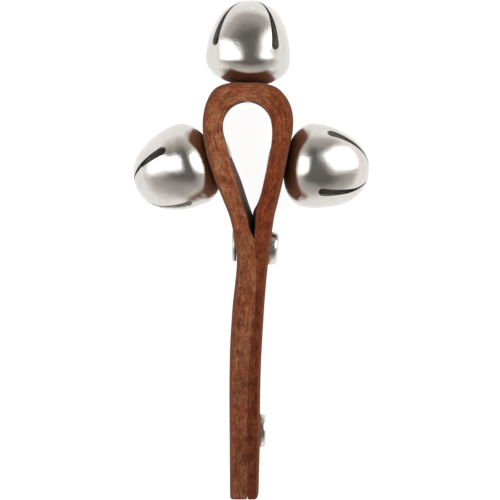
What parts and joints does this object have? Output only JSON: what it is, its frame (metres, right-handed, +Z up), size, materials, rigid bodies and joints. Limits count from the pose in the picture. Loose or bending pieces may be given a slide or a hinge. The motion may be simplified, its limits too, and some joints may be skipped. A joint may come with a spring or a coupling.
{
  "type": "sleigh bells",
  "caption": "Hand-held sleigh bells: round slotted jingle bells with loose pellets, riveted to the outside of a leather strap folded into a loop and a handle.",
  "frame": {"origin": "middle of the instrument's outline, on the surface that its bells lie on", "axes": "+Z up from the surface to the strap's upper cut edge, +Y from the handle to the bell at the top of the loop, +X to the right"},
  "size_m": [0.0708, 0.1492, 0.0255],
  "materials": {
    "leather": "undyed tan leather with burnished cut edges",
    "nickel": "bright nickel plate",
    "steel": "plain steel, nickel washed"
  },
  "bodies": {
    "strap": {"leather_strap": "leather", "top_bell_rivet": "steel", "top_bell_washer": "steel", "left_bell_rivet": "steel", "left_bell_washer": "steel", "right_bell_rivet": "steel", "right_bell_washer": "steel", "upper_rivet_cap": "nickel", "upper_rivet_post": "steel", "lower_rivet_cap": "nickel", "lower_rivet_post": "steel"},
    "top_bell": {"top_bell_shell": "nickel"},
    "top_pellet": {"top_bell_pellet": "steel"},
    "left_bell": {"left_bell_shell": "nickel"},
    "left_pellet": {"left_bell_pellet": "steel"},
    "right_bell": {"right_bell_shell": "nickel"},
    "right_pellet": {"right_bell_pellet": "steel"}
  },
  "joints": [
    {"name": "top_bell_turn", "type": "hinge", "parent": "strap", "child": "top_bell", "pos_m": [-0.00169, 0.04935, 0.01311], "axis": [0.0818, 0.9953, -0.0523], "continuous": true},
    {"name": "top_pellet_roll", "type": "slide", "parent": "top_bell", "child": "top_pellet", "axis": [0.0043, 0.0522, 0.9986], "range_m": [0, 0.0172]},
    {"name": "left_bell_turn", "type": "hinge", "parent": "strap", "child": "left_bell", "pos_m": [-0.01149, 0.0285, 0.01453], "axis": [-0.8977, -0.3885, -0.2079], "continuous": true},
    {"name": "left_pellet_roll", "type": "slide", "parent": "left_bell", "child": "left_pellet", "axis": [-0.1908, -0.0826, 0.9781], "range_m": [0, 0.0172]},
    {"name": "right_bell_turn", "type": "hinge", "parent": "strap", "child": "right_bell", "pos_m": [0.01026, 0.0264, 0.0134], "axis": [0.9828, -0.1627, -0.0872], "continuous": true},
    {"name": "right_pellet_roll", "type": "slide", "parent": "right_bell", "child": "right_pellet", "axis": [0.086, -0.0142, 0.9962], "range_m": [0, 0.0172]}
  ]
}
